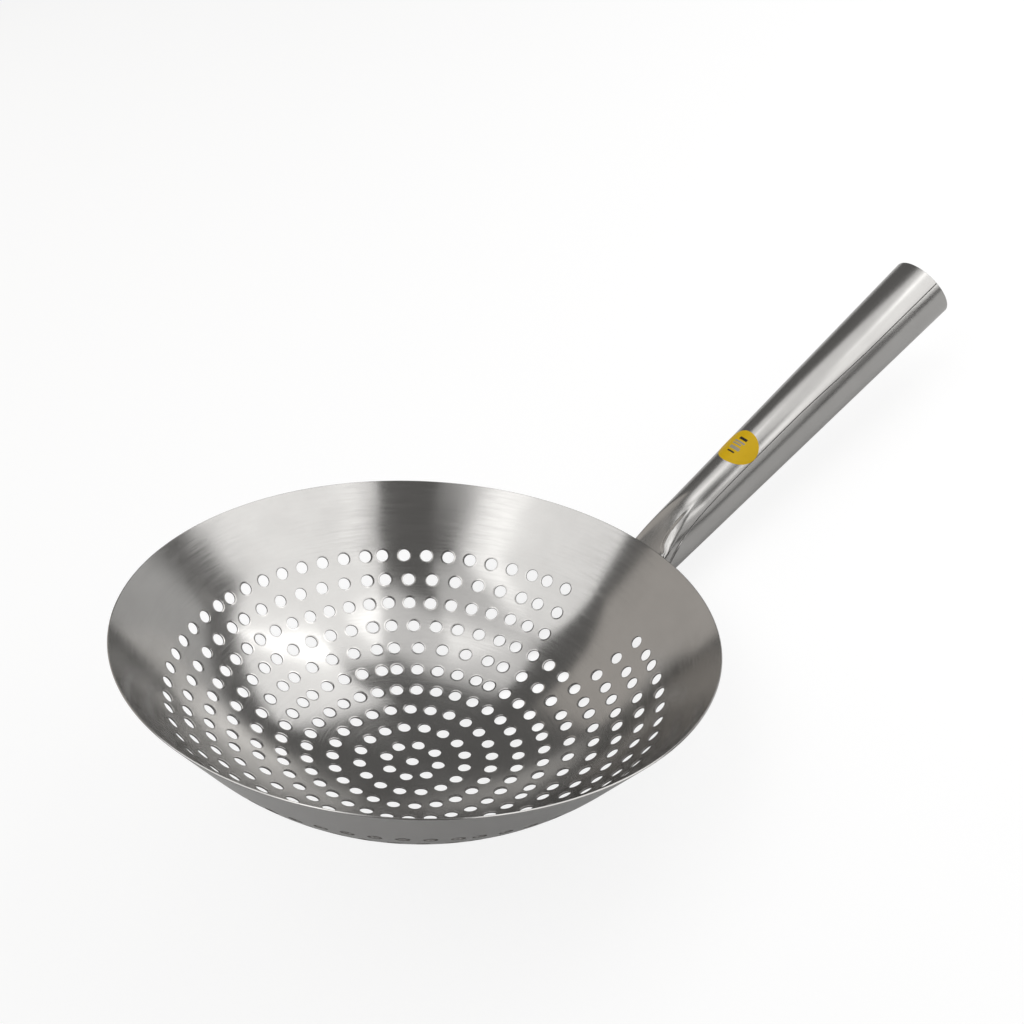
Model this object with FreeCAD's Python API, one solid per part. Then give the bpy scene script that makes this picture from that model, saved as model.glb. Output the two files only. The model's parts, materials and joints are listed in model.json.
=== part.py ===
import FreeCAD
import Part
import math
import os

# A one-piece skimmer: a round-bottomed, perforated bowl and a hollow handle, formed from one
# sheet of stainless steel, with a round sticker on the handle. All lengths are in millimetres
# and all angles in degrees.
#
# The bowl frame has its origin at the centre of the rim, Z up out of the bowl and X towards
# the handle. The finished part is turned from there into the pose in which it stands on a table.

# Bowl
BOWL_DIAMETER = 280.0         # inside of the rim
BOWL_DEPTH = 78.2             # rim to the deepest point of the inside
BOTTOM_RADIUS = 216.0         # arc of the flat-looking middle
SHOULDER_RADIUS = 134.0       # arc between the middle and the wall
WALL_SLOPE = 50.9             # straight upper wall, above the horizontal
SHEET = 0.8                   # steel thickness, bowl and handle

# Perforation
HOLE_DIAMETER = 6.2
HOLE_SIDES = 8                # each hole is cut as a polygon of the round hole's area
RING_PITCH = 12.84            # along the inside, from one ring of holes to the next
EVEN_RINGS = 4                # rings of 8, 16, 24 and 32 evenly spaced holes
SECTORS = 8                   # the outer rings are punched sector by sector
SECTOR_RINGS = (5, 5, 6, 7, 7, 8)    # holes in one sector of each outer ring
SECTOR_GAPS = (7.7, 9.0, 9.8, 10.2, 9.7, 9.0)  # from a sector's last hole to the next one's first
EVEN_RING_TURN = -2.0         # the even rings are punched a little off the handle's line
NECK_KEPT_PLAIN = (0, 0, 0, 3, 3, 4)  # holes left out beside the handle, by outer ring

# Handle
HANDLE_LENGTH = 208.0         # along its axis, from above the rim to the open end
HANDLE_SLOPE = 33.4           # above the plane of the rim
HANDLE_DROP = 7.1             # its axis passes this far below the edge of the rim
HANDLE_FOOT = 64.0            # from the rim back to where its underside runs out into the bowl
NECK_DIAMETER = 25.4          # outside of the tube at the rim
END_DIAMETER = 34.4           # outside of the tube at its open end
SEAM_ANGLE = 50.0             # from the top of the tube round to the seam
SEAM_WIDTH = 0.4
SEAM_DEPTH = 0.3

# Sticker
STICKER_LENGTH = 20.2         # along the handle
STICKER_WIDTH = 21.2          # across the handle, seen from above it
STICKER_PLACE = 72.0          # its middle, along the handle from the rim
STICKER_FILM = 0.1

RIM_RADIUS = BOWL_DIAMETER / 2
REACH = 0.5                   # cutting bodies run this far past what they cut
CENTRE = FreeCAD.Vector(0, 0, 0)
UP = FreeCAD.Vector(0, 0, 1)


def vector(x, z):
    """A point in the plane of symmetry of the bowl frame."""
    return FreeCAD.Vector(x, 0, z)


def bowl_profile():
    """Centres and junction angles of the tangent arcs of the bowl's inside."""
    bottom_centre = (0.0, BOTTOM_RADIUS - BOWL_DEPTH)
    slope = math.radians(WALL_SLOPE)
    along = (math.cos(slope), math.sin(slope))
    # The shoulder's centre lies on a line one shoulder radius inside the wall.
    start = (RIM_RADIUS - SHOULDER_RADIUS * along[1], SHOULDER_RADIUS * along[0])
    offset = (start[0] - bottom_centre[0], start[1] - bottom_centre[1])
    half_b = offset[0] * along[0] + offset[1] * along[1]
    reach = BOTTOM_RADIUS - SHOULDER_RADIUS
    rest = half_b ** 2 - (offset[0] ** 2 + offset[1] ** 2 - reach ** 2)
    step = -half_b - math.sqrt(rest)
    centre = (start[0] + step * along[0], start[1] + step * along[1])
    junction = math.atan2(centre[0], bottom_centre[1] - centre[1])
    return bottom_centre, centre, junction, slope


BOTTOM_CENTRE, SHOULDER_CENTRE, JUNCTION, SLOPE = bowl_profile()


def on_arc(centre, radius, angle):
    """Point of an arc of the profile, by the slope of the sheet there."""
    return vector(centre[0] + radius * math.sin(angle), centre[1] - radius * math.cos(angle))


def wall_point(height, outwards):
    """Point of the straight wall, this high above the rim and this far outside the inside face."""
    return vector(
        RIM_RADIUS + height / math.tan(SLOPE) + outwards * math.sin(SLOPE),
        height - outwards * math.cos(SLOPE),
    )


def profile_edges(outwards, top):
    """The sheet's inside face, or a face outside it, from the axis up the wall."""
    bottom = BOTTOM_RADIUS + outwards
    shoulder = SHOULDER_RADIUS + outwards
    start = on_arc(BOTTOM_CENTRE, bottom, 0)
    first = on_arc(BOTTOM_CENTRE, bottom, JUNCTION / 2)
    second = on_arc(BOTTOM_CENTRE, bottom, JUNCTION)
    third = on_arc(SHOULDER_CENTRE, shoulder, (JUNCTION + SLOPE) / 2)
    fourth = on_arc(SHOULDER_CENTRE, shoulder, SLOPE)
    return [
        Part.Arc(start, first, second).toShape(),
        Part.Arc(second, third, fourth).toShape(),
        Part.LineSegment(fourth, wall_point(top, outwards)).toShape(),
    ]


def revolved(edges):
    """Solid of revolution about the bowl's axis from a closed outline."""
    face = Part.Face(Part.Wire(Part.__sortEdges__(edges)))
    return face.revolve(CENTRE, UP, 360)


def line(start, end):
    return Part.LineSegment(start, end).toShape()


def bowl_shell():
    inside = profile_edges(0, 0)
    outside = profile_edges(SHEET, 0)
    lowest = on_arc(BOTTOM_CENTRE, BOTTOM_RADIUS, 0)
    middle = line(lowest, lowest - UP * SHEET)
    edge = line(wall_point(0, 0), wall_point(0, SHEET))
    return revolved(inside + outside + [middle, edge])


def bowl_cavity(height):
    """The space inside the bowl, with its wall carried on above the rim."""
    top = wall_point(height, 0)
    axis_top = vector(0, height)
    floor = on_arc(BOTTOM_CENTRE, BOTTOM_RADIUS, 0)
    return revolved(profile_edges(0, height) + [line(top, axis_top), line(axis_top, floor)])


def wall_band(height):
    """The straight wall of the bowl, carried on above the rim."""
    corners = [
        wall_point(-height, 0),
        wall_point(-height, SHEET),
        wall_point(height, SHEET),
        wall_point(height, 0),
    ]
    return revolved([line(a, b) for a, b in zip(corners, corners[1:] + corners[:1])])


def ring_place(number):
    """Slope of the sheet and centre of a hole on the inside face, by the ring's number."""
    along = number * RING_PITCH
    bottom = BOTTOM_RADIUS * JUNCTION
    shoulder = SHOULDER_RADIUS * (SLOPE - JUNCTION)
    if along <= bottom:
        angle = along / BOTTOM_RADIUS
        return angle, on_arc(BOTTOM_CENTRE, BOTTOM_RADIUS, angle)
    if along <= bottom + shoulder:
        angle = JUNCTION + (along - bottom) / SHOULDER_RADIUS
        return angle, on_arc(SHOULDER_CENTRE, SHOULDER_RADIUS, angle)
    rest = along - bottom - shoulder
    start = on_arc(SHOULDER_CENTRE, SHOULDER_RADIUS, SLOPE)
    return SLOPE, start + vector(rest * math.cos(SLOPE), rest * math.sin(SLOPE))


def punch(number, turns):
    """Punches for one ring of holes, square to the sheet."""
    angle, place = ring_place(number)
    outwards = vector(math.sin(angle), -math.cos(angle))
    sideways = FreeCAD.Vector(0, 1, 0)
    upwards = outwards.cross(sideways)
    start = place - outwards * REACH
    corner = 2 * math.pi / HOLE_SIDES
    # A polygon of the round hole's area.
    radius = HOLE_DIAMETER / 2 * math.sqrt(corner / math.sin(corner))
    outline = []
    for side in range(HOLE_SIDES + 1):
        turn = (side + 0.5) * corner
        outline.append(start + sideways * (radius * math.cos(turn)) + upwards * (radius * math.sin(turn)))
    tool = Part.Face(Part.makePolygon(outline)).extrude(outwards * (SHEET + 2 * REACH))
    tools = []
    for turn in turns:
        copy = tool.copy()
        copy.rotate(CENTRE, UP, turn)
        tools.append(copy)
    return tools


def sector_turns(number, count, left_out, gap):
    """Azimuths of one outer ring's holes, sector by sector, from the handle round."""
    radius = ring_place(number)[1].x
    sector = 360 / SECTORS
    pitch = (sector - math.degrees(gap / radius)) / (count - 1)
    turns = []
    for index in range(SECTORS):
        for hole in range(count):
            offset = hole - (count - 1) / 2
            if index == 0 and abs(offset) < left_out / 2:
                continue
            turns.append(index * sector + offset * pitch)
    return turns


def punches():
    tools = punch(0, [0])
    for number in range(1, EVEN_RINGS + 1):
        count = SECTORS * number
        tools += punch(number, [EVEN_RING_TURN + 360 * hole / count for hole in range(count)])
    outer_rings = zip(SECTOR_RINGS, NECK_KEPT_PLAIN, SECTOR_GAPS)
    for number, (count, left_out, gap) in enumerate(outer_rings, EVEN_RINGS + 1):
        tools += punch(number, sector_turns(number, count, left_out, gap))
    return tools


HANDLE_TILT = math.radians(HANDLE_SLOPE)
HANDLE_AXIS = vector(math.cos(HANDLE_TILT), math.sin(HANDLE_TILT))
HANDLE_UP = vector(-math.sin(HANDLE_TILT), math.cos(HANDLE_TILT))
HANDLE_START = vector(RIM_RADIUS, -HANDLE_DROP)
HANDLE_SIDE = FreeCAD.Vector(0, -1, 0)


def tube_radius(along):
    """Outside radius of the handle, this far along it from the rim."""
    return (NECK_DIAMETER + (END_DIAMETER - NECK_DIAMETER) * along / HANDLE_LENGTH) / 2


def tube_body(start, end, outwards):
    """Solid cone of the handle's taper, this far outside its surface."""
    return Part.makeCone(
        tube_radius(start) + outwards,
        tube_radius(end) + outwards,
        end - start,
        HANDLE_START + HANDLE_AXIS * start,
        HANDLE_AXIS,
    )


def seam():
    """Cutting body of the shallow line where the rolled sheet's edges meet."""
    length = HANDLE_LENGTH + 2 * REACH
    angle = math.radians(SEAM_ANGLE)
    outwards = HANDLE_UP * math.cos(angle) + HANDLE_SIDE * math.sin(angle)
    across = HANDLE_AXIS.cross(outwards)
    blade = Part.makeBox(length, SEAM_WIDTH, END_DIAMETER)
    blade.translate(FreeCAD.Vector(0, -SEAM_WIDTH / 2, 0))
    matrix = FreeCAD.Matrix(
        HANDLE_AXIS.x, across.x, outwards.x, HANDLE_START.x,
        HANDLE_AXIS.y, across.y, outwards.y, HANDLE_START.y,
        HANDLE_AXIS.z, across.z, outwards.z, HANDLE_START.z,
        0, 0, 0, 1,
    )
    blade.Placement = FreeCAD.Placement(matrix)
    return blade.cut(tube_body(-REACH, HANDLE_LENGTH + 2 * REACH, -SEAM_DEPTH))


def skimmer_body():
    """The whole stamped and rolled sheet, in the bowl frame."""
    neck_top = NECK_DIAMETER / 2
    tube = tube_body(-HANDLE_FOOT, HANDLE_LENGTH, 0)
    hollow = tube_body(-HANDLE_FOOT - REACH, HANDLE_LENGTH + REACH, -SHEET)
    neck = tube.common(wall_band(neck_top))
    body = bowl_shell().fuse([tube.cut(hollow), neck])
    body = body.cut(bowl_cavity(neck_top))
    body = body.cut(seam())
    return body.cut(punches())


def sticker():
    """Thin round film that lies on the top of the tube."""
    start = STICKER_PLACE - STICKER_LENGTH
    end = STICKER_PLACE + STICKER_LENGTH
    film = tube_body(start, end, STICKER_FILM).cut(tube_body(start, end, 0))
    outline = Part.Ellipse(CENTRE, STICKER_WIDTH / 2, STICKER_LENGTH / 2)
    stamp = Part.Face(Part.Wire(outline.toShape())).extrude(UP * END_DIAMETER)
    across = HANDLE_SIDE * -1
    place = HANDLE_START + HANDLE_AXIS * STICKER_PLACE
    matrix = FreeCAD.Matrix(
        across.x, -HANDLE_AXIS.x, HANDLE_UP.x, place.x,
        across.y, -HANDLE_AXIS.y, HANDLE_UP.y, place.y,
        across.z, -HANDLE_AXIS.z, HANDLE_UP.z, place.z,
        0, 0, 0, 1,
    )
    stamp.Placement = FreeCAD.Placement(matrix)
    return film.common(stamp)


def tilt_over(centre, mass_centre):
    """Tilt that brings the centre of mass straight below the centre of an arc."""
    return math.atan2(mass_centre.x - centre[0], centre[1] - mass_centre.z)


def resting_place(mass_centre):
    """Tilt towards the handle on a table, with the centre and radius of the arc it stands on."""
    tilt = tilt_over(BOTTOM_CENTRE, mass_centre)
    if tilt <= JUNCTION:
        return tilt, BOTTOM_CENTRE, BOTTOM_RADIUS + SHEET
    return tilt_over(SHOULDER_CENTRE, mass_centre), SHOULDER_CENTRE, SHOULDER_RADIUS + SHEET


def stood_up(shapes, body):
    """The shapes turned and moved into the pose in which they stand on the table."""
    tilt, centre, radius = resting_place(body.Solids[0].CenterOfMass)
    posed = []
    for shape in shapes:
        copy = shape.copy()
        copy.rotate(vector(*centre), FreeCAD.Vector(0, 1, 0), math.degrees(tilt))
        copy.translate(vector(-centre[0], radius - centre[1]))
        posed.append(copy)
    return posed


def main():
    body = skimmer_body()
    parts = {"skimmer_body": body, "sticker": sticker()}
    os.makedirs("parts", exist_ok=True)
    for name, shape in zip(parts, stood_up(parts.values(), body)):
        shape.exportStep("parts/" + name + ".step")


main()
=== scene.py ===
import json
import math

import bpy
import numpy as np
from mathutils import Matrix, Vector
from mathutils.geometry import delaunay_2d_cdt


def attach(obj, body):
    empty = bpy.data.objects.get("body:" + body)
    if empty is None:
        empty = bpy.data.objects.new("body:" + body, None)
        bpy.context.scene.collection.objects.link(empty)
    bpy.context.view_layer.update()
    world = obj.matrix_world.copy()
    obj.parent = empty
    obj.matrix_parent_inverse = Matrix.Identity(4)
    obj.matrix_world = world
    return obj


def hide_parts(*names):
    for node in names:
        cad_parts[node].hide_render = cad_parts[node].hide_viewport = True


# The looks of a one-piece skimmer: a perforated steel bowl that runs on into a rolled tube
# handle, with a round yellow sticker. Lengths are in metres. The values named here give angles
# in degrees; SLOPE, TILT and JUNCTION and the angles inside functions are in radians. Shapes
# are worked out in the bowl's own frame (origin at the centre of the rim, Z out of the bowl,
# X towards the handle) and then laid where the frame's handle is.

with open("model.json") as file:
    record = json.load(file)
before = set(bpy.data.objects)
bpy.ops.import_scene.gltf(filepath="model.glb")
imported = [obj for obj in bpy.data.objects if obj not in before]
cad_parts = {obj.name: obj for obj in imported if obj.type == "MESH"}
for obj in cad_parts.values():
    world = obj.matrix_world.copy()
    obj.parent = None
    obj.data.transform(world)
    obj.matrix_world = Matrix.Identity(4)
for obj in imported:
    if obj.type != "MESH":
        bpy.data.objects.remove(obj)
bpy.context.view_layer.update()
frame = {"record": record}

# Bowl
BOWL_DIAMETER = 0.280
BOWL_DEPTH = 0.0782
BOTTOM_RADIUS = 0.216
SHOULDER_RADIUS = 0.134
WALL_SLOPE = 50.9
SHEET = 0.0008
EDGE_ROUND = 0.0002           # the sheet's cut edges are broken this much

# Perforation
HOLE_DIAMETER = 0.0062
HOLE_CORNERS = 20
HOLE_BREAK = 0.00012          # chamfer left by the punch
HOLE_ROLL = 0.0010            # width of the sheet that the punch drags down around a hole
HOLE_SINK = 0.00007           # how far it is dragged down at the hole's edge
HOLE_TILT = 0.16              # how far the normals lean into the hole there
BREAK_LEAN = 0.3              # how far a chamfer's normals still follow the sheet's
RING_PITCH = 0.01284
EVEN_RINGS = 4
SECTORS = 8
SECTOR_RINGS = (5, 5, 6, 7, 7, 8)       # holes in a sector, ring by ring
SECTOR_GAPS = (0.0077, 0.0090, 0.0098, 0.0102, 0.0097, 0.0090)
EVEN_RING_TURN = -2.0
NECK_KEPT_PLAIN = (0, 0, 0, 3, 3, 4)    # holes left out towards the handle, by ring

# Handle
HANDLE_LENGTH = 0.208
HANDLE_SLOPE = 33.4
HANDLE_DROP = 0.0071
NECK_DIAMETER = 0.0254
END_DIAMETER = 0.0344
NECK_BLEND = 0.0034           # how softly the tube passes into the line of the bowl's wall
NECK_REACH = (0.002, 0.030)   # where the polishing lines turn from the wall's to the tube's
NO_WALL = 1.0                 # the reach of a ray that passes the bowl's wall

# Seam: its angle from the tube's top, with a steep start and a slow drift further up
SEAM_DEPTH = 0.0003
SEAM_HALF_WIDTH = 0.00028
SEAM_ROUNDING = (0.35, 1.0)   # from the flat of the groove to its edge, in half widths
SEAM_GAPE = 1.6               # how much wider the groove is at the neck
SEAM_GAPE_REACH = (0.008, 0.022)
SEAM_TURN = 47.5
SEAM_LEAVING = 36
SEAM_LEAVING_FROM = 0.0046
SEAM_LEAVING_FADE = 0.014
SEAM_LEAVING_MOST = 60
SEAM_SETTLING = 6
SEAM_SETTLING_REACH = (0.100, 0.160)

# Fold and swollen edge beside the seam
FOLD_TURN = 20
FOLD_LEAVING = 43
FOLD_LEAVING_FROM = 0.0036
FOLD_LEAVING_FADE = 0.0042
FOLD_NEAREST = -0.01          # before this place the fold turns no further
SWELL_HEIGHT = 0.0011
SWELL_RISE = 9
SWELL_FALL = (6, 52)
SWELL_STARTS = (0.003, 0.009)
SWELL_ENDS = (0.012, 0.040)

# Meshes
RIM_CORNERS = 360
POINT_RINGS = 3               # rings of points to each ring of holes
POINT_SPREAD = 1.15           # points in a ring stand this much further apart than the rings
FEWEST_POINTS = 8
HOLE_MARGIN = 1.32            # kept free of points round a hole, as a share of its outer loop
HANDLE_COLUMNS = 168
HANDLE_ROWS = 110
ROWS_EVEN = 0.35              # share of the rows' places that is even, the rest crowds at the neck
ROWS_POWER = 2.6
INSIDE_ROWS = 18
SEAM_COLUMNS = (-2.0, -1.4, -1.0, -0.7, -0.4, -0.15, 0.0, 0.15, 0.4, 0.7, 1.0, 1.4, 2.0)
GROOVE_EDGE = 0.7             # the groove's darker colour, which is painted shade, ends at this column, in half widths
START_SEARCH = (-0.072, 0.060)
START_STEP = 0.00025
START_HALVINGS = 20
START_SUNK = 0.0004           # how deep the handle begins inside the bowl's sheet
NORMAL_STEP = 0.00002

# Polishing lines: how much they are drawn out, and a shift that keeps the two patterns apart
BOWL_DRAWN_OUT = 0.06
TUBE_DRAWN_OUT = 0.04
TUBE_GRAIN_SHIFT = 1.0

# Materials of the sheet, by their place in its list
BOWL_STEEL = 0
HANDLE_STEEL = 1
# the material of the hole walls and the seam's groove: rougher steel whose darker colour is painted
# shade
DULL_STEEL_WITH_PAINTED_SHADE = 2

# Sticker
STICKER_LENGTH = 0.0202
STICKER_GIRTH = 0.0240        # round the tube, from edge to edge
STICKER_PLACE = 0.072
STICKER_FILM = 0.0001
STICKER_CORNERS = 64
STICKER_RINGS = 14
STICKER_SPAN = (0.04, 0.94)   # shares of the radius from the first even ring to the last
STICKER_EDGE = (0.985, 1.0)
STICKER_EDGE_HEIGHT = 0.55

# Sticker's bars: place along the tube and round it, half length, half width, colour
YELLOWS = ((0.66, 0.41, 0.0015, 1.0), (0.71, 0.45, 0.002, 1.0))
GREY = (0.33, 0.31, 0.26, 1.0)
DARK = (0.02, 0.018, 0.015, 1.0)
BARS = (
    (0.0048, 0.0, 0.00075, 0.0026, DARK),
    (0.0025, -0.0005, 0.0005, 0.0036, GREY),
    (0.0009, -0.0011, 0.0005, 0.0030, GREY),
    (-0.0016, -0.0003, 0.0009, 0.0034, GREY),
    (-0.0042, -0.0006, 0.00045, 0.0024, DARK),
)
FILM_TONE_SCALE = 300.0
FILM_ROUGHNESS = 0.42
FILM_SPECULAR = 0.25

# Steel
STEEL = (0.46, 0.452, 0.44)
STAIN_SHADES = (0.97, 1.03)   # of the colour, where the stains are darkest and lightest
FINE_LINES_SCALE = 5200.0
BROAD_LINES_SCALE = 900.0
WAVES_SCALE = 26.0
STAINS_SCALE = 60.0
STAINS_ROUGHNESS = 0.55
NOISE_LOW = 0.3
NOISE_HIGH = 0.7
ROUGHNESS_SPREAD = (-0.02, 0.03)
LINE_HEIGHT = 0.00002
WAVE_HEIGHT = 0.0006
WAVE_STRENGTH = 0.4
# Colours of the hole walls and the seam's groove: painted shade in these hollows, with a random tone
# between the two
PUNCHED_COLOURS_WITH_PAINTED_SHADE = ((0.16, 0.155, 0.15, 1.0), (0.30, 0.29, 0.28, 1.0))
PUNCHED_SCALE = 900.0
PUNCHED_ROUGHNESS = 0.45

# Floor and world: their glow for camera rays, for mirrored rays and for all rays
FLOOR_HALF = 20.0
FLOOR_SEEN = 0.84
FLOOR_MIRRORED = 0.05
FLOOR_PAINT_SEEN = (0.20, 0.20, 0.20, 1.0)
FLOOR_PAINT = (0.70, 0.70, 0.70, 1.0)
WORLD_SEEN = 0.70
WORLD_MIRRORED = 0.03
WORLD_ALWAYS = 0.14
WORLD_COLOUR = (1.0, 0.985, 0.97, 1.0)

# Lights: name, azimuth, elevation, distance, width, height, radiance, colour
WHITE = (1.0, 1.0, 1.0)
WARM = (1.0, 0.94, 0.88)
SOFTBOXES = (
    ("key_softbox", -30, 36, 0.95, 0.90, 0.86, 1.45, WHITE),
    ("left_softbox", -71, 32, 0.95, 0.30, 0.66, 0.50, WHITE),
    ("side_softbox", 10, 28, 0.95, 0.60, 0.50, 1.45, WHITE),
    ("over_softbox", 18, 68, 0.95, 0.90, 0.36, 1.00, WHITE),
    ("top_softbox", 168, 69, 0.96, 0.94, 0.52, 1.32, WHITE),
    ("roof_softbox", 60, 88, 0.95, 0.40, 0.70, 0.75, WHITE),
    ("back_softbox", 104, 27, 0.95, 0.90, 0.71, 0.46, WARM),
)

# Camera, in the row frame
CAMERA_PLACE = Vector((-0.19780, -0.57502, 0.67596))
CAMERA_LOOKS = Vector((0.26907, 0.68556, -0.67647))
CAMERA_UP = Vector((0.60529, 0.42596, 0.67245))
CAMERA_LENS = 63.47           # in millimetres, as is the sensor's width
CAMERA_SENSOR = 36.0
CAMERA_NEAR = 0.01
CAMERA_FAR = 100.0

RIM_RADIUS = BOWL_DIAMETER / 2
HOLE_RADIUS = HOLE_DIAMETER / 2
SLOPE = math.radians(WALL_SLOPE)
TILT = math.radians(HANDLE_SLOPE)


def bowl_profile():
    """Centres and junction of the arcs of the bowl's inside, and the lengths of its parts."""
    bottom = np.array([0.0, BOTTOM_RADIUS - BOWL_DEPTH])
    along = np.array([math.cos(SLOPE), math.sin(SLOPE)])
    start = np.array([RIM_RADIUS - SHOULDER_RADIUS * along[1], SHOULDER_RADIUS * along[0]])
    offset = start - bottom
    half_b = offset @ along
    rest = half_b ** 2 - (offset @ offset - (BOTTOM_RADIUS - SHOULDER_RADIUS) ** 2)
    shoulder = start + (-half_b - math.sqrt(rest)) * along
    junction = math.atan2(shoulder[0], bottom[1] - shoulder[1])
    wall_start = shoulder[0] + SHOULDER_RADIUS * math.sin(SLOPE)
    lengths = (
        BOTTOM_RADIUS * junction,
        SHOULDER_RADIUS * (SLOPE - junction),
        (RIM_RADIUS - wall_start) / math.cos(SLOPE),
    )
    return bottom, shoulder, junction, lengths


BOTTOM_CENTRE, SHOULDER_CENTRE, JUNCTION, PROFILE_PARTS = bowl_profile()
PROFILE_LENGTH = sum(PROFILE_PARTS)


def profile(along):
    """Radius, height and slope of the bowl's inside, by arc length from its middle."""
    along = np.asarray(along, float)
    bottom, shoulder, _ = PROFILE_PARTS
    beyond = np.maximum(along - bottom - shoulder, 0)
    in_bottom = along <= bottom
    on_shoulder = JUNCTION + (along - bottom) / SHOULDER_RADIUS
    angle = np.minimum(np.where(in_bottom, along / BOTTOM_RADIUS, on_shoulder), SLOPE)
    centre_x = np.where(in_bottom, 0.0, SHOULDER_CENTRE[0])
    centre_z = np.where(in_bottom, BOTTOM_CENTRE[1], SHOULDER_CENTRE[1])
    arc = np.where(in_bottom, BOTTOM_RADIUS, SHOULDER_RADIUS)
    radius = centre_x + arc * np.sin(angle) + beyond * math.cos(SLOPE)
    height = centre_z - arc * np.cos(angle) + beyond * math.sin(SLOPE)
    return radius, height, angle


def bowl_surface(along, turn, outwards=0.0):
    """Points of the bowl's sheet and their normals into the bowl."""
    radius, height, angle = profile(along)
    inwards = np.stack(
        [-np.sin(angle) * np.cos(turn), -np.sin(angle) * np.sin(turn), np.cos(angle)], axis=-1
    )
    points = np.stack([radius * np.cos(turn), radius * np.sin(turn), height], axis=-1)
    outwards = np.asarray(outwards, float)[..., None]
    return points - inwards * outwards, inwards


def hole_centres():
    """Arc length and azimuth of every hole, ring by ring."""
    found = [(0.0, 0.0)]
    for ring in range(1, EVEN_RINGS + 1):
        count = SECTORS * ring
        for hole in range(count):
            found.append((ring * RING_PITCH, math.radians(EVEN_RING_TURN + 360 * hole / count)))
    sector = 2 * math.pi / SECTORS
    for index, count in enumerate(SECTOR_RINGS):
        along = (EVEN_RINGS + 1 + index) * RING_PITCH
        radius = float(profile(along)[0])
        pitch = (sector - SECTOR_GAPS[index] / radius) / (count - 1)
        for number in range(SECTORS):
            for hole in range(count):
                offset = hole - (count - 1) / 2
                if number == 0 and abs(offset) < NECK_KEPT_PLAIN[index] / 2:
                    continue
                found.append((along, number * sector + offset * pitch))
    return np.array(found)


def full_circle(count):
    """Evenly spaced angles."""
    return 2 * math.pi * np.arange(count) / count


def hole_loop(centre, radius):
    """Arc lengths and azimuths of the corners of a round hole in the sheet."""
    along, turn = centre
    angle = full_circle(HOLE_CORNERS)
    if along == 0.0:
        return np.full(HOLE_CORNERS, radius), angle
    loop_along = along + radius * np.cos(angle)
    loop_radius = profile(loop_along)[0]
    return loop_along, turn + radius * np.sin(angle) / loop_radius


class Sheet:
    """Points and faces of a mesh, with a normal of its own at each corner of each face."""

    def __init__(self):
        self.points = []
        self.grain = []
        self.across = []
        self.faces = []
        self.normals = []
        self.marks = []
        self.count = 0

    def add_points(self, points, grain, across):
        """Points, with their place along the polishing lines and the direction across these."""
        first = self.count
        self.points.append(points.reshape(-1, 3))
        self.grain.append(grain.reshape(-1, 3))
        self.across.append(across.reshape(-1, 3))
        self.count += len(self.points[-1])
        return np.arange(first, self.count).reshape(points.shape[:-1])

    def add_faces(self, corners, normals, mark=0):
        """Faces by point numbers, and the normal at each of their corners."""
        self.faces += corners.reshape(-1, corners.shape[-1]).tolist()
        self.normals.append(normals.reshape(-1, 3))
        self.marks += [mark] * (corners.size // corners.shape[-1])

    def add_grid(self, numbers, normals, mark=0, closed=False, flip=False):
        """Quads over a grid of points, whose columns may close on themselves."""
        if closed:
            numbers = np.concatenate([numbers, numbers[:, :1]], axis=1)
            normals = np.concatenate([normals, normals[:, :1]], axis=1)
        here = slice(None, -1)
        onwards = slice(1, None)
        picks = [(here, here), (here, onwards), (onwards, onwards), (onwards, here)]
        if flip:
            picks.reverse()
        corners = np.stack([numbers[pick] for pick in picks], axis=-1)
        corner_normals = np.stack([normals[pick] for pick in picks], axis=-2)
        self.add_faces(corners, corner_normals, mark)

    def build(self, name, place):
        """A Blender object of the mesh, laid in the row frame."""
        points = np.concatenate(self.points)
        turn = np.array(place.to_3x3())
        mesh = bpy.data.meshes.new(name)
        mesh.from_pydata((points @ turn.T + np.array(place.translation)).tolist(), [], self.faces)
        grain = mesh.attributes.new("grain", "FLOAT_VECTOR", "POINT")
        grain.data.foreach_set("vector", np.concatenate(self.grain).astype(np.float32).ravel())
        across = mesh.attributes.new("across", "FLOAT_VECTOR", "POINT")
        directions = np.concatenate(self.across) @ turn.T
        across.data.foreach_set("vector", directions.astype(np.float32).ravel())
        mesh.polygons.foreach_set("use_smooth", [True] * len(mesh.polygons))
        mesh.polygons.foreach_set("material_index", self.marks)
        normals = np.concatenate(self.normals) @ turn.T
        normals /= np.linalg.norm(normals, axis=1)[:, None]
        mesh.normals_split_custom_set(normals.tolist())
        mesh.update()
        piece = bpy.data.objects.new(name, mesh)
        bpy.context.scene.collection.objects.link(piece)
        return piece


def edge_profile(thickness):
    """Across a cut edge from one face to the other: depth, place before the edge, and normal."""
    slant = math.sqrt(0.5)
    near = EDGE_ROUND * (1 - slant)
    return [
        (0.0, EDGE_ROUND, (1.0, 0.0)),
        (near, near, (slant, slant)),
        (EDGE_ROUND, 0.0, (0.0, 1.0)),
        (thickness - EDGE_ROUND, 0.0, (0.0, 1.0)),
        (thickness - near, near, (-slant, slant)),
        (thickness, EDGE_ROUND, (-1.0, 0.0)),
    ]


def bowl_grain(points, along):
    """Texture coordinates that are drawn out round the bowl."""
    drawn = points * BOWL_DRAWN_OUT
    return np.stack([along, drawn[..., 0], drawn[..., 1]], axis=-1)


def up_the_wall(along, turn):
    """The direction from the bowl's middle towards its rim, in the sheet."""
    angle = profile(along)[2]
    level = np.cos(angle)
    return np.stack([level * np.cos(turn), level * np.sin(turn), np.sin(angle)], axis=-1)


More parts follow.
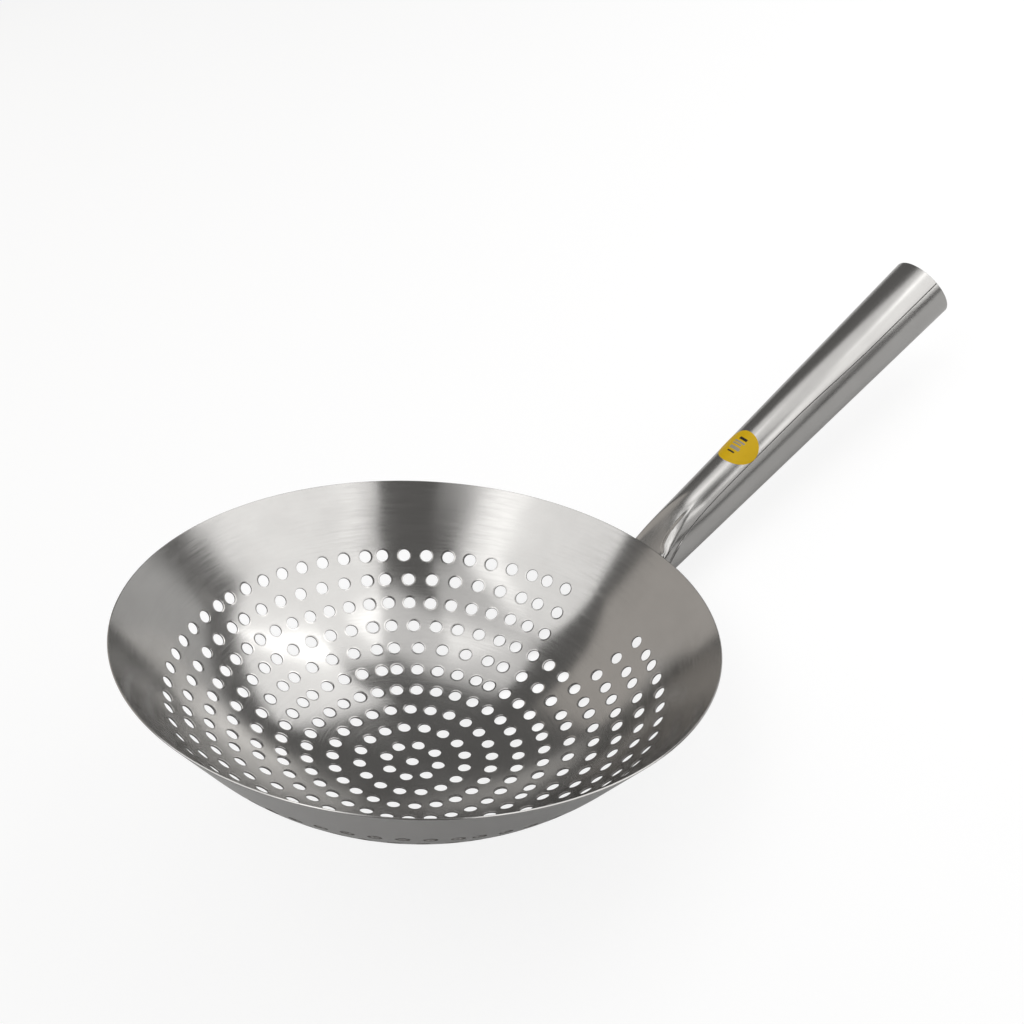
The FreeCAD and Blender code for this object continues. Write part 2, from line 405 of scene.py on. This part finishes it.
def flat_points(centres):
    """Points between the holes and up to the rim, in the flattened sheet."""
    step = RING_PITCH / POINT_RINGS
    rim = PROFILE_LENGTH - EDGE_ROUND
    rings = []
    for number, along in enumerate(np.arange(step / 2, rim - step / 2, step)):
        count = max(FEWEST_POINTS, int(2 * math.pi * along / (step * POINT_SPREAD)))
        turn = 2 * math.pi * (np.arange(count) + 0.5 * (number % 2)) / count
        rings.append(np.stack([np.full(count, along), turn], axis=-1))
    inner = np.concatenate(rings)
    outer = np.stack([np.full(RIM_CORNERS, rim), full_circle(RIM_CORNERS)], axis=-1)
    hole_flat = flattened(centres[:, 0], centres[:, 1])
    gap = np.linalg.norm(flattened(inner[:, 0], inner[:, 1])[:, None] - hole_flat[None], axis=-1)
    clear = gap.min(axis=1) > (HOLE_RADIUS + HOLE_ROLL) * HOLE_MARGIN
    return inner[clear], outer


def flattened(along, turn):
    """The sheet laid flat, so that arc length from the middle is kept."""
    return np.stack([along * np.cos(turn), along * np.sin(turn)], axis=-1)


def triangulated(places, loops, centres):
    """Triangles over the flattened sheet, left open inside the given loops."""
    flat = flattened(places[:, 0], places[:, 1])
    edges = []
    for loop in loops:
        edges += list(zip(loop.tolist(), np.roll(loop, -1).tolist()))
    all_triangles = 0
    closeness = 1e-9
    corners = [Vector(point) for point in flat]
    _, _, found, sources, *_ = delaunay_2d_cdt(corners, edges, [], all_triangles, closeness)
    origin = np.array([source[0] for source in sources])
    triangles = origin[np.array(found)]
    middle = flat[triangles].mean(axis=1)
    hole_flat = flattened(centres[:, 0], centres[:, 1])
    nearest = np.linalg.norm(middle[:, None] - hole_flat[None], axis=-1).argmin(axis=1)
    member = np.full(len(places), -1)
    for number, loop in enumerate(loops):
        member[loop] = number
    inside = (member[triangles] == nearest[:, None]).all(axis=1)
    return triangles[~inside]


def add_bowl_face(sheet, centres, loop_radii, outwards, side, mark):
    """One face of the perforated bowl, and the point numbers of its rim and its hole edges."""
    inner, rim = flat_points(centres)
    parts = [inner, rim]
    sinks = [np.zeros(len(inner)), np.zeros(len(rim))]
    tilts = [np.zeros(len(inner)), np.zeros(len(rim))]
    loops = []
    count = len(inner) + len(rim)
    for radius, sink, tilt in loop_radii:
        for centre in centres:
            along, turn = hole_loop(centre, radius)
            parts.append(np.stack([along, turn], axis=-1))
            sinks.append(np.full(HOLE_CORNERS, sink))
            tilts.append(np.full(HOLE_CORNERS, tilt))
            loops.append(np.arange(count, count + HOLE_CORNERS))
            count += HOLE_CORNERS
    places = np.concatenate(parts)
    triangles = triangulated(places, loops[-len(centres):], centres)
    sink = np.concatenate(sinks)
    points, normals = bowl_surface(places[:, 0], places[:, 1], outwards + side * sink)
    # Around a hole the normals lean towards its middle, where the punch dragged the sheet down.
    towards = np.zeros_like(points)
    hole_points = bowl_surface(centres[:, 0], centres[:, 1], outwards)[0]
    for number, loop in enumerate(loops):
        lean = hole_points[number % len(centres)] - points[loop]
        towards[loop] = lean / np.linalg.norm(lean, axis=1)[:, None]
    tilt = np.concatenate(tilts)[:, None]
    normals = normals * side + towards * tilt
    across = up_the_wall(places[:, 0], places[:, 1])
    numbers = sheet.add_points(points, bowl_grain(points, places[:, 0]), across)
    # Every triangle is wound so that it faces the way its normals point.
    corners = points[triangles]
    facing = np.cross(corners[:, 1] - corners[:, 0], corners[:, 2] - corners[:, 0])
    wrong = (facing * normals[triangles[:, 0]]).sum(axis=1) < 0
    triangles[wrong] = triangles[wrong][:, ::-1]
    sheet.add_faces(numbers[triangles], normals[triangles], mark)
    rim_numbers = numbers[len(inner):len(inner) + len(rim)]
    hole_numbers = np.stack([numbers[loop] for loop in loops[-len(centres):]])
    return rim_numbers, hole_numbers


def add_hole_walls(sheet, centres, inside, outside, mark):
    """The punched walls of the holes, with their broken edges."""
    for number, centre in enumerate(centres):
        along, turn = hole_loop(centre, HOLE_RADIUS)
        across = up_the_wall(along, turn)
        rings = []
        for depth in (HOLE_SINK + HOLE_BREAK, SHEET - HOLE_BREAK):
            points, _ = bowl_surface(along, turn, depth)
            rings.append((sheet.add_points(points, bowl_grain(points, along), across), points))
        middle, inwards = bowl_surface(*centre, SHEET / 2)
        radial = middle - rings[0][1]
        radial -= (radial @ inwards)[:, None] * inwards
        radial /= np.linalg.norm(radial, axis=1)[:, None]
        lean = inwards * BREAK_LEAN
        bands = (
            (inside[number], rings[0][0], radial + inwards, radial + lean),
            (rings[0][0], rings[1][0], radial, radial),
            (rings[1][0], outside[number], radial - lean, radial - inwards),
        )
        for upper, lower, upper_normals, lower_normals in bands:
            normals = np.stack([upper_normals, lower_normals])
            sheet.add_grid(np.stack([upper, lower]), normals, mark, closed=True)


def add_bowl_rim(sheet, inside, outside, mark):
    """The cut edge of the sheet round the rim."""
    turn = full_circle(RIM_CORNERS)
    rim = np.full(RIM_CORNERS, PROFILE_LENGTH)
    inwards = bowl_surface(rim, turn)[1]
    up_wall = up_the_wall(rim, turn)
    rows = [inside]
    normals = []
    for depth, before, facing in edge_profile(SHEET):
        normals.append(inwards * facing[0] + up_wall * facing[1])
        if depth in (0.0, SHEET):
            continue
        points, _ = bowl_surface(rim - before, turn, depth)
        rows.append(sheet.add_points(points, bowl_grain(points, rim), up_wall))
    rows.append(outside)
    sheet.add_grid(np.stack(rows), np.stack(normals), mark, closed=True, flip=True)


HANDLE_AXIS = np.array([math.cos(TILT), 0.0, math.sin(TILT)])
HANDLE_UP = np.array([-math.sin(TILT), 0.0, math.cos(TILT)])
HANDLE_SIDE = np.array([0.0, -1.0, 0.0])
HANDLE_START = np.array([RIM_RADIUS, 0.0, -HANDLE_DROP])
TAPER = (END_DIAMETER - NECK_DIAMETER) / 2 / HANDLE_LENGTH


def on_axis(along):
    """Points of the tube's axis."""
    return HANDLE_START + along[..., None] * HANDLE_AXIS


def ray_at(angle):
    """The direction out of the tube's axis, by the angle from the top of the tube."""
    return np.cos(angle)[..., None] * HANDLE_UP + np.sin(angle)[..., None] * HANDLE_SIDE


def tube_radius(along):
    """The plain tube's outer radius."""
    return NECK_DIAMETER / 2 + TAPER * along


def smoothstep(low, high, value):
    """0 below the low value, 1 above the high one, and a soft rise between."""
    share = np.clip((value - low) / (high - low), 0, 1)
    return share * share * (3 - 2 * share)


def soft_least(first, second, blend):
    """The lesser of two values, rounded off where they are close."""
    share = np.clip(0.5 + (second - first) / (2 * blend), 0, 1)
    return second + (first - second) * share - blend * share * (1 - share)


def seam_angle(along):
    """Where the seam runs round the tube: it leaves the rim at the side and soon climbs."""
    leaving = np.exp(-(along - SEAM_LEAVING_FROM) / SEAM_LEAVING_FADE)
    leaving = np.minimum(math.radians(SEAM_LEAVING) * leaving, math.radians(SEAM_LEAVING_MOST))
    settling = math.radians(SEAM_SETTLING) * smoothstep(*SEAM_SETTLING_REACH, along)
    return math.radians(SEAM_TURN) + leaving + settling


def reach_to_wall(angle, along):
    """From the tube's axis outwards to the bowl's inside wall, carried on above the rim."""
    slant = 1 / math.tan(SLOPE)
    start = on_axis(along)
    ray = ray_at(angle)
    cone = RIM_RADIUS + start[..., 2] * slant
    square = ray[..., 0] ** 2 + ray[..., 1] ** 2 - (ray[..., 2] * slant) ** 2
    half = start[..., 0] * ray[..., 0] - cone * ray[..., 2] * slant
    rest = start[..., 0] ** 2 - cone ** 2
    far = np.full(angle.shape, NO_WALL)
    # A ray that passes the wall has no root, so its reach stays as it is.
    with np.errstate(divide="ignore", invalid="ignore"):
        total = -(half + np.where(half < 0, -1, 1) * np.sqrt(half ** 2 - square * rest))
        roots = (total / square, rest / total)
    for root in roots:
        far = np.where((root > 0) & (root < far), root, far)
    return far


def fold_angle(along):
    """Where the fold between the pressed neck and the rolled edge runs."""
    leaving = np.exp(-np.maximum(along - FOLD_LEAVING_FROM, FOLD_NEAREST) / FOLD_LEAVING_FADE)
    return math.radians(FOLD_TURN) + math.radians(FOLD_LEAVING) * leaving


def handle_radius(angle, along):
    """The neck's and tube's outside, measured from the axis.

    Near the bowl the tube is pressed flat in line with the bowl's wall. On the seam's side the
    rolled edge swells up beside a narrow fold, and evens out further up the tube.
    """
    from_top = (angle + math.pi) % (2 * math.pi) - math.pi
    flat = soft_least(tube_radius(along), reach_to_wall(angle, along), NECK_BLEND)
    beyond = np.degrees(from_top - fold_angle(along))
    swell = smoothstep(0, SWELL_RISE, beyond) * (1 - smoothstep(*SWELL_FALL, beyond))
    height = SWELL_HEIGHT * smoothstep(*SWELL_STARTS, along)
    return flat + height * (1 - smoothstep(*SWELL_ENDS, along)) * swell


def handle_surface(from_seam, along, inset=0.0):
    """Points of the handle's outside, by angle from the seam and place along the axis."""
    angle = from_seam + seam_angle(along)
    radius = handle_radius(angle, along)
    gaping = 1 + SEAM_GAPE * (1 - smoothstep(*SEAM_GAPE_REACH, along))
    off = np.abs(from_seam) * tube_radius(along) / (SEAM_HALF_WIDTH * gaping)
    radius = radius - SEAM_DEPTH * (1 - smoothstep(*SEAM_ROUNDING, off)) - inset
    return on_axis(along) + radius[..., None] * ray_at(angle)


def handle_normals(from_seam, along):
    """Outward normals of the handle's outside, from small steps over its surface."""
    turn = NORMAL_STEP / tube_radius(along)
    across = handle_surface(from_seam + turn, along) - handle_surface(from_seam - turn, along)
    onwards = handle_surface(from_seam, along + NORMAL_STEP)
    onwards = onwards - handle_surface(from_seam, along - NORMAL_STEP)
    normals = np.cross(across, onwards)
    return normals / np.linalg.norm(normals, axis=-1)[..., None]


def outside_wall(points):
    """How far points lie outside the bowl's outer face."""
    radius = np.hypot(points[..., 0], points[..., 1])
    height = points[..., 2]
    angle = np.arctan2(radius - SHOULDER_CENTRE[0], SHOULDER_CENTRE[1] - height)
    wall = (radius - RIM_RADIUS) * math.sin(SLOPE) - height * math.cos(SLOPE)
    shoulder = np.hypot(radius - SHOULDER_CENTRE[0], height - SHOULDER_CENTRE[1]) - SHOULDER_RADIUS
    bottom = np.hypot(radius, height - BOTTOM_CENTRE[1]) - BOTTOM_RADIUS
    return np.where(angle > SLOPE, wall, np.where(angle > JUNCTION, shoulder, bottom)) - SHEET


def handle_starts(columns, inset=0.0):
    """Where each column of the handle's surface leaves the bowl: at its rim or under it."""
    places = np.arange(*START_SEARCH, START_STEP)

    def is_clear(points):
        return (points[..., 2] >= 0) | (outside_wall(points) >= -START_SUNK)

    from_seam, along = np.meshgrid(columns, places)
    clear = is_clear(handle_surface(from_seam, along, inset))
    blocked = np.where(clear, 0, np.arange(len(places))[:, None]).max(axis=0)
    low = places[blocked]
    high = low + START_STEP
    for _ in range(START_HALVINGS):
        middle = (low + high) / 2
        clear = is_clear(handle_surface(columns, middle, inset))
        high = np.where(clear, middle, high)
        low = np.where(clear, low, middle)
    return high


def handle_columns():
    """Angles from the seam of the handle's columns, crowded at the seam."""
    fine = np.array(SEAM_COLUMNS) * SEAM_HALF_WIDTH / (NECK_DIAMETER / 2)
    rest = np.linspace(fine[-1], 2 * math.pi + fine[0], HANDLE_COLUMNS)[1:-1]
    return np.concatenate([fine, rest])


def tube_grain(points):
    """Texture coordinates that are drawn out along the tube."""
    offset = points - HANDLE_START
    up = offset @ HANDLE_UP + TUBE_GRAIN_SHIFT
    drawn = (offset @ HANDLE_AXIS) * TUBE_DRAWN_OUT
    return np.stack([up, offset @ HANDLE_SIDE, drawn], axis=-1)


def round_the_tube(points):
    """The direction round the tube, which turns into that of the bowl's wall at the neck."""
    offset = points - HANDLE_START
    along = offset @ HANDLE_AXIS
    radial = offset - along[..., None] * HANDLE_AXIS
    round_tube = np.cross(HANDLE_AXIS, radial)
    round_tube /= np.linalg.norm(round_tube, axis=-1)[..., None]
    wall = np.array([math.cos(SLOPE), 0.0, math.sin(SLOPE)])
    share = smoothstep(*NECK_REACH, along)[..., None]
    mixed = round_tube * share + wall * (1 - share)
    return mixed / np.linalg.norm(mixed, axis=-1)[..., None]


def add_handle(sheet, mark, groove_mark):
    """The neck and the tube with its open end, outside and inside."""
    columns = handle_columns()
    starts = handle_starts(columns)
    share = np.linspace(0, 1, HANDLE_ROWS)
    graded = ROWS_EVEN * share + (1 - ROWS_EVEN) * share ** ROWS_POWER
    last = HANDLE_LENGTH - EDGE_ROUND
    along = starts[None] + (last - starts[None]) * graded[:, None]
    from_seam = np.broadcast_to(columns, along.shape)
    points = handle_surface(from_seam, along)
    normals = handle_normals(from_seam, along)
    outer = sheet.add_points(points, tube_grain(points), round_the_tube(points))
    # The seam's groove is as dull as the punched holes, and painted darker like them: painted shade in
    # the groove.
    right = SEAM_COLUMNS.index(-GROOVE_EDGE)
    left = SEAM_COLUMNS.index(GROOVE_EDGE)
    groove = list(range(right, left + 1))
    plain = list(range(left, len(columns))) + list(range(right + 1))
    sheet.add_grid(outer[:, groove], normals[:, groove], groove_mark)
    sheet.add_grid(outer[:, plain], normals[:, plain], mark)

    angle = columns + seam_angle(np.full(columns.shape, last))
    ray = ray_at(angle)
    rows = [outer[-1]]
    row_normals = []
    for depth, before, facing in edge_profile(SHEET):
        row_normals.append(ray * facing[0] + HANDLE_AXIS * facing[1])
        if depth == 0.0:
            continue
        place = HANDLE_LENGTH - before
        points = HANDLE_START + place * HANDLE_AXIS + (tube_radius(place) - depth) * ray
        rows.append(sheet.add_points(points, tube_grain(points), round_the_tube(points)))
    row_normals[0] = normals[-1]
    sheet.add_grid(np.stack(rows), np.stack(row_normals), mark, closed=True)

    # The inside runs back to the bowl's wall.
    inner_starts = handle_starts(columns, SHEET)
    inner = [rows[-1]]
    inner_normals = [-ray]
    for part in np.linspace(1, 0, INSIDE_ROWS)[1:]:
        along = inner_starts + (last - inner_starts) * part
        points = handle_surface(columns, along, SHEET)
        inner.append(sheet.add_points(points, tube_grain(points), round_the_tube(points)))
        inner_normals.append(-handle_normals(columns, along))
    sheet.add_grid(np.stack(inner), np.stack(inner_normals), mark, closed=True)


def skimmer(place):
    """The whole sheet: bowl, holes, rim, neck and handle."""
    sheet = Sheet()
    centres = hole_centres()
    inside_loops = [
        (HOLE_RADIUS + HOLE_ROLL, 0.0, 0.0),
        (HOLE_RADIUS + HOLE_BREAK, HOLE_SINK, HOLE_TILT),
    ]
    outside_loops = [(HOLE_RADIUS + HOLE_BREAK, 0.0, 0.0)]
    inside = add_bowl_face(sheet, centres, inside_loops, 0.0, 1, BOWL_STEEL)
    outside = add_bowl_face(sheet, centres, outside_loops, SHEET, -1, BOWL_STEEL)
    # The hole walls are rough steel, painted darker as shade inside the holes.
    add_hole_walls(sheet, centres, inside[1], outside[1], DULL_STEEL_WITH_PAINTED_SHADE)
    add_bowl_rim(sheet, inside[0], outside[0], BOWL_STEEL)
    add_handle(sheet, HANDLE_STEEL, DULL_STEEL_WITH_PAINTED_SHADE)
    return sheet.build("skimmer", place)


def sticker(place):
    """A round film on the top of the tube."""
    sheet = Sheet()
    share = np.append(np.linspace(*STICKER_SPAN, STICKER_RINGS), STICKER_EDGE)
    turn = full_circle(STICKER_CORNERS)
    along = STICKER_PLACE + STICKER_LENGTH / 2 * share[:, None] * np.cos(turn)
    girth = STICKER_GIRTH / 2 * share[:, None] * np.sin(turn)
    angle = girth / tube_radius(along)
    ray = ray_at(angle)
    height = np.full(len(share), STICKER_FILM)
    height[-1] = STICKER_FILM * STICKER_EDGE_HEIGHT
    radius = tube_radius(along) + height[:, None]
    points = on_axis(along) + radius[..., None] * ray
    normals = ray - TAPER * HANDLE_AXIS
    flat = np.stack([along - STICKER_PLACE, girth, np.zeros_like(girth)], axis=-1)
    top = sheet.add_points(points, flat, flat)
    sheet.add_grid(top, normals, closed=True)

    # A fan closes the middle.
    rise = tube_radius(STICKER_PLACE) + STICKER_FILM
    middle = HANDLE_START + STICKER_PLACE * HANDLE_AXIS + rise * HANDLE_UP
    centre = sheet.add_points(middle[None], np.zeros((1, 3)), np.zeros((1, 3)))
    first = normals[0]
    fan = [np.full(STICKER_CORNERS, centre[0]), np.roll(top[0], -1), top[0]]
    fan_normals = [np.broadcast_to(HANDLE_UP, first.shape), np.roll(first, -1, axis=0), first]
    sheet.add_faces(np.stack(fan, axis=-1), np.stack(fan_normals, axis=-2))

    # The edge runs down into the steel.
    edge = along[-1]
    foot = on_axis(edge) + (tube_radius(edge) - STICKER_FILM)[:, None] * ray[-1]
    foot_numbers = sheet.add_points(foot, flat[-1], flat[-1])
    round_tube = ray_at(angle[-1] + math.pi / 2)
    outwards = np.cos(turn)[:, None] * HANDLE_AXIS + np.sin(turn)[:, None] * round_tube
    sheet.add_grid(np.stack([top[-1], foot_numbers]), np.stack([outwards] * 2), closed=True)
    return sheet.build("sticker_film", place)


def handle_place():
    """Turns and moves the bowl's frame so that the handle's open end lies on the frame's mount."""
    mount = next(m for m in frame["record"]["mounts"] if m["name"] == "handle_socket")
    axis = Vector(mount["axis"])
    tilt = TILT - math.atan2(axis.z, axis.x)
    turn = Matrix.Rotation(tilt, 4, "Y")
    end = Vector(HANDLE_START + HANDLE_LENGTH * HANDLE_AXIS)
    return Matrix.Translation(Vector(mount["pos_m"]) - turn @ end) @ turn


class Nodes:
    """A short way to write a material's nodes."""

    # Sockets of the mix node that serve colours. Their names are shared with other types.
    MIX_FACTOR = 0
    MIX_FIRST = 6
    MIX_SECOND = 7
    MIX_RESULT = 2

    def __init__(self, tree):
        self.tree = tree
        self.tree.nodes.clear()

    def add(self, kind, inputs=(), **settings):
        node = self.tree.nodes.new(kind)
        for key, value in settings.items():
            setattr(node, key, value)
        for key, value in dict(inputs).items():
            if isinstance(value, bpy.types.NodeSocket):
                self.tree.links.new(value, node.inputs[key])
            else:
                node.inputs[key].default_value = value
        return node

    def math(self, operation, *values):
        return self.add("ShaderNodeMath", enumerate(values), operation=operation).outputs[0]

    def mix(self, factor, first, second):
        inputs = {self.MIX_FACTOR: factor, self.MIX_FIRST: first, self.MIX_SECOND: second}
        return self.add("ShaderNodeMix", inputs, data_type="RGBA").outputs[self.MIX_RESULT]

    def stretched(self, noise, low=0.0, high=1.0):
        """Noise, whose values crowd round its middle, stretched to the given range."""
        inputs = {
            "Value": noise, "From Min": NOISE_LOW, "From Max": NOISE_HIGH, "To Min": low, "To Max": high
        }
        return self.add("ShaderNodeMapRange", inputs).outputs[0]

    def noise(self, vector, scale, detail=2.0, roughness=0.5):
        node = self.add(
            "ShaderNodeTexNoise",
            {"Vector": vector, "Scale": scale, "Detail": detail, "Roughness": roughness},
        )
        return node.outputs[0]

    def finish(self, shader):
        self.add("ShaderNodeOutputMaterial", {"Surface": shader})


def new_material(name):
    """An empty material and its nodes."""
    material = bpy.data.materials.new(name)
    material.use_nodes = True
    return material, Nodes(material.node_tree)


def steel(name, base, roughness, drawn, streaks):
    """Satin stainless steel: fine drawn-out polishing lines over faint broad waves."""
    material, nodes = new_material(name)
    grain = nodes.add("ShaderNodeAttribute", attribute_name="grain").outputs["Vector"]
    across = nodes.add("ShaderNodeAttribute", attribute_name="across").outputs["Vector"]
    place = nodes.add("ShaderNodeTexCoord").outputs["Object"]
    lines = nodes.noise(grain, FINE_LINES_SCALE)
    broad_lines = nodes.noise(grain, BROAD_LINES_SCALE)
    waves = nodes.noise(place, WAVES_SCALE, detail=1.0)
    stains = nodes.noise(place, STAINS_SCALE, detail=3.0, roughness=STAINS_ROUGHNESS)
    darker, lighter = [[channel * shade for channel in base] + [1.0] for shade in STAIN_SHADES]
    colour = nodes.mix(nodes.stretched(stains), darker, lighter)
    smoothest, roughest = [roughness + spread for spread in ROUGHNESS_SPREAD]
    rough = nodes.stretched(broad_lines, smoothest, roughest)
    fine = {"Height": lines, "Strength": streaks, "Distance": LINE_HEIGHT}
    fine = nodes.add("ShaderNodeBump", fine).outputs[0]
    broad = {"Height": waves, "Strength": WAVE_STRENGTH, "Distance": WAVE_HEIGHT, "Normal": fine}
    broad = nodes.add("ShaderNodeBump", broad).outputs[0]
    surface = {
        "Base Color": colour,
        "Metallic": 1.0,
        "Roughness": rough,
        "Anisotropic": drawn,
        "Normal": broad,
        "Tangent": across,
    }
    nodes.finish(nodes.add("ShaderNodeBsdfPrincipled", surface).outputs[0])
    return material


def dull_steel_with_painted_shade():
    """The torn and burnished walls of the punched holes, duller than the polished faces, and darker in
    colour, which is painted shade in these hollows and in the seam's groove.
    """
    material, nodes = new_material("dull_steel_with_painted_shade")
    place = nodes.add("ShaderNodeTexCoord").outputs["Object"]
    colour = nodes.mix(nodes.noise(place, PUNCHED_SCALE), *PUNCHED_COLOURS_WITH_PAINTED_SHADE)
    surface = {"Base Color": colour, "Metallic": 1.0, "Roughness": PUNCHED_ROUGHNESS}
    nodes.finish(nodes.add("ShaderNodeBsdfPrincipled", surface).outputs[0])
    return material


def film():
    """Glossy yellow film with a few plain grey and dark bars."""
    material, nodes = new_material("yellow_film")
    grain = nodes.add("ShaderNodeAttribute", attribute_name="grain").outputs["Vector"]
    split = nodes.add("ShaderNodeSeparateXYZ", {"Vector": grain}).outputs

    def within(value, middle, half):
        """1 where the value is less than half away from the middle, and 0 elsewhere."""
        away = nodes.math("ABSOLUTE", nodes.math("SUBTRACT", value, middle))
        return nodes.math("LESS_THAN", away, half)

    colour = nodes.mix(nodes.noise(grain, FILM_TONE_SCALE), *YELLOWS)
    for along, girth, half_length, half_width, paint in BARS:
        in_length = within(split["X"], along, half_length)
        in_width = within(split["Y"], girth, half_width)
        colour = nodes.mix(nodes.math("MULTIPLY", in_length, in_width), colour, paint)
    surface = {
        "Base Color": colour, "Roughness": FILM_ROUGHNESS, "Specular IOR Level": FILM_SPECULAR
    }
    nodes.finish(nodes.add("ShaderNodeBsdfPrincipled", surface).outputs[0])
    return material


def seen_and_mirrored(nodes, seen_glow, mirrored_glow):
    """Whether a ray is the camera's, and a glow for such rays and for mirrored or refracted ones."""
    path = nodes.add("ShaderNodeLightPath").outputs
    seen = path["Is Camera Ray"]
    mirrored = nodes.math("MAXIMUM", path["Is Glossy Ray"], path["Is Transmission Ray"])
    to_camera = nodes.math("MULTIPLY", seen, seen_glow)
    to_mirror = nodes.math("MULTIPLY", mirrored, mirrored_glow)
    return seen, nodes.math("ADD", to_camera, to_mirror)


def floor():
    """A pale floor that shows white, with the object's shadow kept."""
    mesh = bpy.data.meshes.new("floor")
    signs = ((-1, -1), (1, -1), (1, 1), (-1, 1))
    mesh.from_pydata([(x * FLOOR_HALF, y * FLOOR_HALF, 0) for x, y in signs], [], [(0, 1, 2, 3)])
    piece = bpy.data.objects.new("floor", mesh)
    bpy.context.scene.collection.objects.link(piece)
    material, nodes = new_material("floor_paint")
    seen, glow = seen_and_mirrored(nodes, FLOOR_SEEN, FLOOR_MIRRORED)
    paint = nodes.mix(seen, FLOOR_PAINT, FLOOR_PAINT_SEEN)
    diffuse = nodes.add("ShaderNodeBsdfDiffuse", {"Color": paint}).outputs[0]
    light = nodes.add("ShaderNodeEmission", {"Color": (*WHITE, 1.0), "Strength": glow}).outputs[0]
    nodes.finish(nodes.add("ShaderNodeAddShader", {0: diffuse, 1: light}).outputs[0])
    mesh.materials.append(material)


def softbox(name, azimuth, elevation, distance, width, height, radiance, tint):
    """A rectangular light that looks at the object and shows with the given radiance."""
    data = bpy.data.lights.new(name, "AREA")
    data.shape = "RECTANGLE"
    data.size = width
    data.size_y = height
    data.energy = radiance * math.pi * width * height
    data.color = tint
    lamp = bpy.data.objects.new(name, data)
    turn = math.radians(azimuth)
    rise = math.radians(elevation)
    level = math.cos(rise)
    towards = Vector((math.cos(turn) * level, math.sin(turn) * level, math.sin(rise)))
    lamp.location = towards * distance
    lamp.rotation_euler = towards.to_track_quat("Z", "Y").to_euler()
    lamp.visible_camera = False
    bpy.context.scene.collection.objects.link(lamp)


def lights():
    """The softboxes that the steel mirrors, and a dim world that shows pale to the camera."""
    for values in SOFTBOXES:
        softbox(*values)
    world = bpy.data.worlds.new("studio")
    bpy.context.scene.world = world
    world.use_nodes = True
    nodes = Nodes(world.node_tree)
    glow = nodes.math("ADD", seen_and_mirrored(nodes, WORLD_SEEN, WORLD_MIRRORED)[1], WORLD_ALWAYS)
    background = nodes.add("ShaderNodeBackground", {"Color": WORLD_COLOUR, "Strength": glow})
    nodes.add("ShaderNodeOutputWorld", {"Surface": background.outputs[0]})


def camera():
    """The photograph's camera."""
    data = bpy.data.cameras.new("camera")
    data.lens = CAMERA_LENS
    data.sensor_width = CAMERA_SENSOR
    data.clip_start = CAMERA_NEAR
    data.clip_end = CAMERA_FAR
    eye = bpy.data.objects.new("camera", data)
    back = -CAMERA_LOOKS.normalized()
    right = CAMERA_UP.cross(back).normalized()
    up = back.cross(right)
    turn = Matrix((right, up, back)).transposed().to_4x4()
    eye.matrix_world = Matrix.Translation(CAMERA_PLACE) @ turn
    bpy.context.scene.collection.objects.link(eye)
    bpy.context.scene.camera = eye


place = handle_place()

body = skimmer(place)
body.data.materials.append(steel("bowl_steel", STEEL, roughness=0.16, drawn=0.7, streaks=0.10))
body.data.materials.append(steel("handle_steel", STEEL, roughness=0.20, drawn=0.6, streaks=0.15))
body.data.materials.append(dull_steel_with_painted_shade())
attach(body, "root")
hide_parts("skimmer_body")

label = sticker(place)
label.data.materials.append(film())
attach(label, "root")
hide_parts("sticker")

floor()
lights()
camera()
bpy.context.scene.view_settings.view_transform = "Standard"
